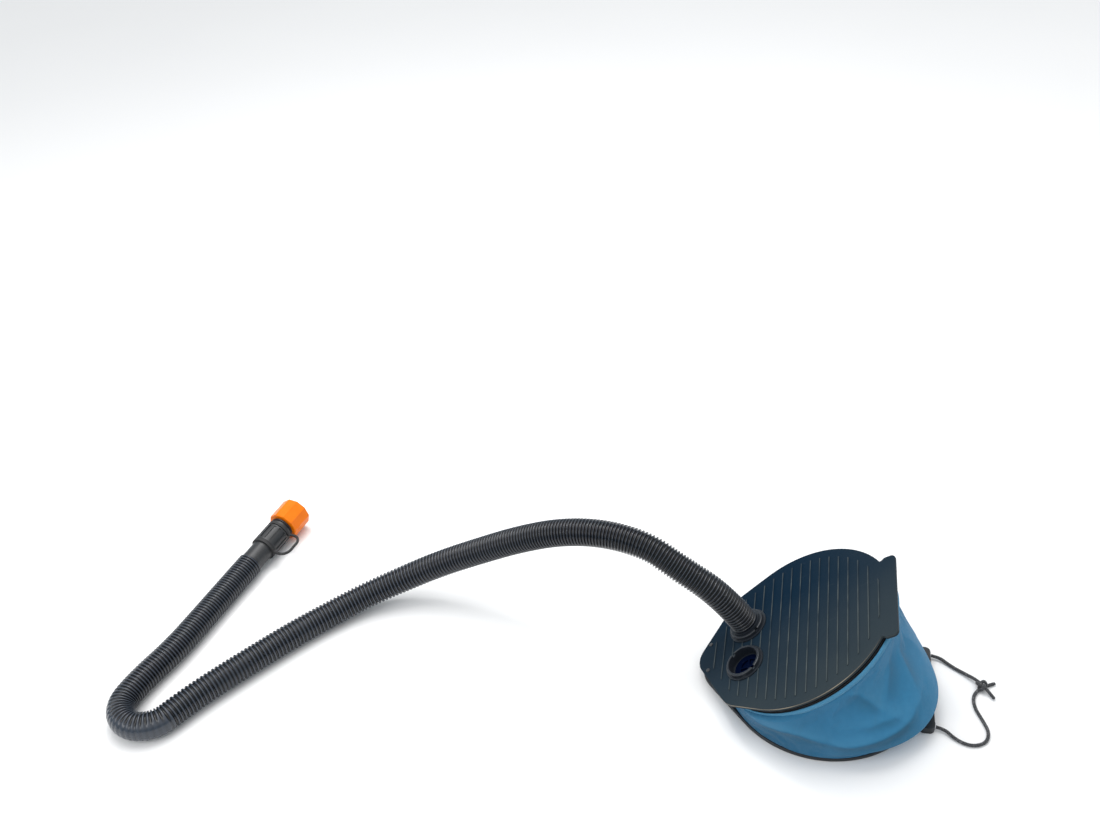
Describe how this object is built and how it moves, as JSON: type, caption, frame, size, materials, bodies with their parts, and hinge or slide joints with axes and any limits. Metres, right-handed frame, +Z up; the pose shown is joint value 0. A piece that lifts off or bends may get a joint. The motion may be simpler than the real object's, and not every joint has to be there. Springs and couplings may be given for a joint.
{
  "type": "bellows foot pump",
  "caption": "Foot-operated bellows air pump: two hinged plates with a fabric bellows between them, valve collars, a corrugated hose with a screw coupling, and a closing cord.",
  "frame": {"origin": "centre of the base plate's disc, on the floor under it", "axes": "+X from the hinge to the toe bar, +Z up, +Y towards the side of the hose's outlet"},
  "size_m": [1.04, 0.4054, 0.1689],
  "materials": {
    "plate_plastic": "satin moulded plastic",
    "inner_plastic": "plain moulded plastic",
    "collar_plastic": "satin moulded plastic",
    "steel": "bright zinc plate",
    "bellows_fabric": "coated nylon, softly creased",
    "flap_rubber": "soft matte rubber",
    "hose_plastic": "semi-gloss corrugated plastic",
    "fitting_plastic": "satin moulded plastic",
    "nut_plastic": "glossy moulded plastic",
    "cord_braid": "braided elastic cord"
  },
  "bodies": {
    "base": {"base_plate": "plate_plastic", "base_clamp_ring": "inner_plastic", "base_ring_screws": "steel", "base_hinge_leaf": "steel", "base_hinge_screws": "steel", "hinge_pin": "steel", "base_spring_seat": "inner_plastic", "return_spring": "steel", "bellows": "bellows_fabric", "hose": "hose_plastic", "hose_cuff": "fitting_plastic", "connector_body": "fitting_plastic", "coupling_seal": "flap_rubber", "tether_strap": "fitting_plastic", "closing_cord_far": "cord_braid", "closing_cord_near": "cord_braid", "cord_knot": "cord_braid", "cord_eyelets": "steel"},
    "top_plate": {"top_plate": "plate_plastic", "top_clamp_ring": "inner_plastic", "top_ring_screws": "steel", "top_hinge_leaf": "steel", "top_hinge_screws": "steel", "top_spring_seat": "inner_plastic", "inlet_collar": "collar_plastic", "outlet_collar": "collar_plastic", "inlet_valve_seat": "inner_plastic", "outlet_valve_seat": "inner_plastic", "inlet_flap_pin": "steel", "outlet_flap_pin": "steel", "hose_plug": "collar_plastic"},
    "inlet_flap": {"inlet_flap": "flap_rubber"},
    "outlet_flap": {"outlet_flap": "flap_rubber"},
    "coupling_nut": {"coupling_nut": "nut_plastic"}
  },
  "joints": [
    {"name": "plate_hinge", "type": "hinge", "parent": "base", "child": "top_plate", "pos_m": [-0.128, 0, 0.008], "axis": [0, 1, 0], "range_deg": [0, 31], "stiffness_Nm_per_rad": 5.5, "springref_deg": -12.61, "deforming": ["bellows", "return_spring", "hose"]},
    {"name": "inlet_flap_hinge", "type": "hinge", "parent": "top_plate", "child": "inlet_flap", "pos_m": [-0.09534, -0.029, 0.03558], "axis": [0, 1, 0], "range_deg": [0, 15], "stiffness_Nm_per_rad": 0.002, "springref_deg": -20.05},
    {"name": "outlet_flap_hinge", "type": "hinge", "parent": "top_plate", "child": "outlet_flap", "pos_m": [-0.09802, 0.029, 0.03956], "axis": [0, -1, 0], "range_deg": [0, 15], "stiffness_Nm_per_rad": 0.002, "springref_deg": -20.05},
    {"name": "coupling_nut_spin", "type": "hinge", "parent": "base", "child": "coupling_nut", "pos_m": [-0.73858, 0.17583, 0.02349], "axis": [0.2574, 0.9652, 0.0472], "continuous": true}
  ]
}
